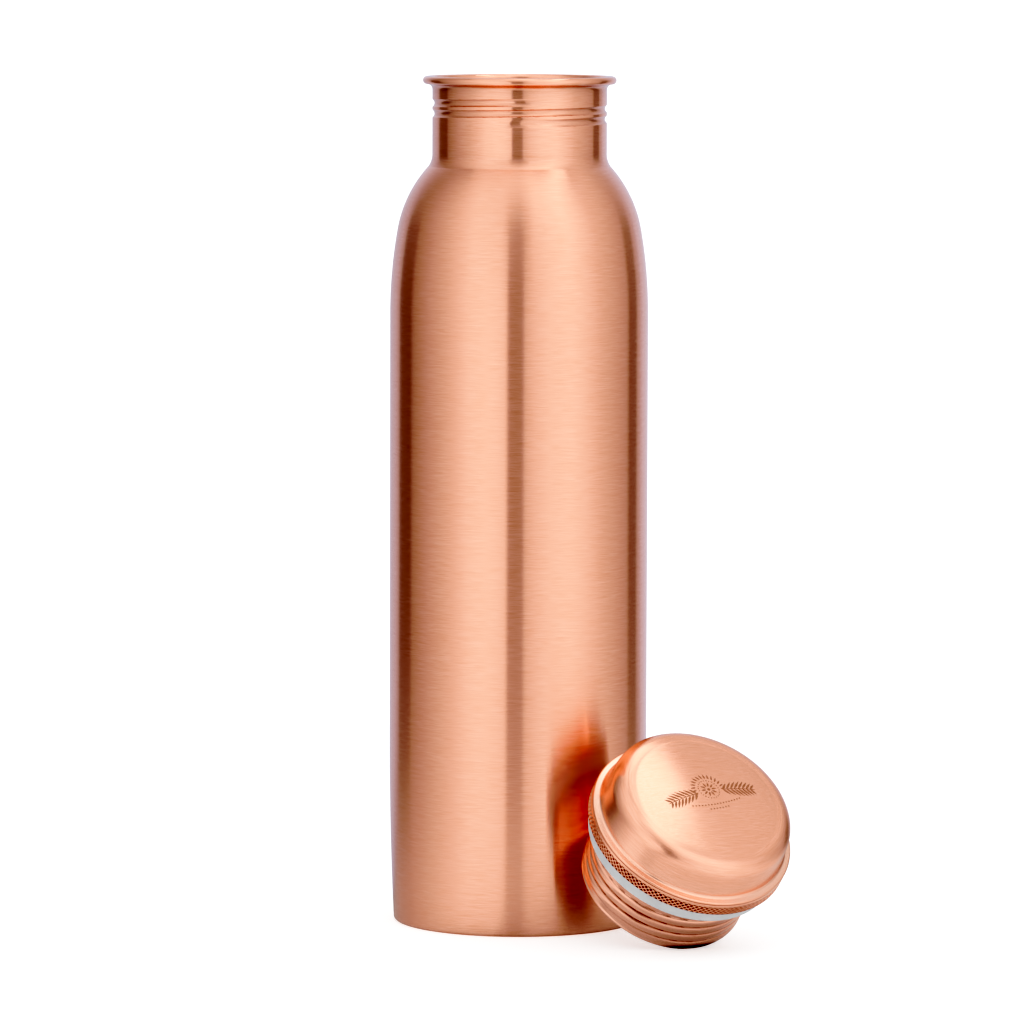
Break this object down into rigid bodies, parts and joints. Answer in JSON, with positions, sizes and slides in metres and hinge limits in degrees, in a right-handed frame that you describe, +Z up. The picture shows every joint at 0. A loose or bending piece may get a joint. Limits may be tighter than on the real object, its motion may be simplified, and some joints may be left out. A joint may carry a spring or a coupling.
{
  "type": "copper water bottle",
  "caption": "Slim brushed copper water bottle with a sloping shoulder, threaded neck and rolled lip; its domed screw lid with a knurled grip and seal leans at the foot.",
  "frame": {"origin": "middle of the bottle's foot, on the surface that it stands on", "axes": "+Z up along the bottle's axis; -Y towards the viewer, with the lid at the right front, towards +X and -Y"},
  "size_m": [0.1137, 0.1165, 0.243],
  "materials": {
    "copper_body": "copper, brushed around the body",
    "copper_neck": "copper, brushed around the neck",
    "copper_lid": "copper, soft satin",
    "copper_grip": "copper, diamond knurl with darker pits",
    "copper_plug": "copper, duller, marked by the thread",
    "copper_inner": "copper, duller spun metal",
    "silicone_seal": "matt white silicone"
  },
  "bodies": {
    "bottle": {"body_shell": "copper_body", "base_disc": "copper_inner", "neck_collar": "copper_neck"},
    "seal": {"seal_ring": "silicone_seal"},
    "lid": {"lid_dome": "copper_lid", "grip_ring": "copper_grip", "plug_sleeve": "copper_plug", "plug_disc": "copper_inner"}
  },
  "joints": [
    {"name": "lid_lift", "type": "slide", "parent": "bottle", "child": "seal", "axis": [0, 0, 1], "range_m": [0, 0.25]},
    {"name": "lid_turn", "type": "hinge", "parent": "seal", "child": "lid", "pos_m": [0.04744, -0.05052, 0.03184], "axis": [0.3262, -0.5813, 0.7455], "continuous": true}
  ]
}
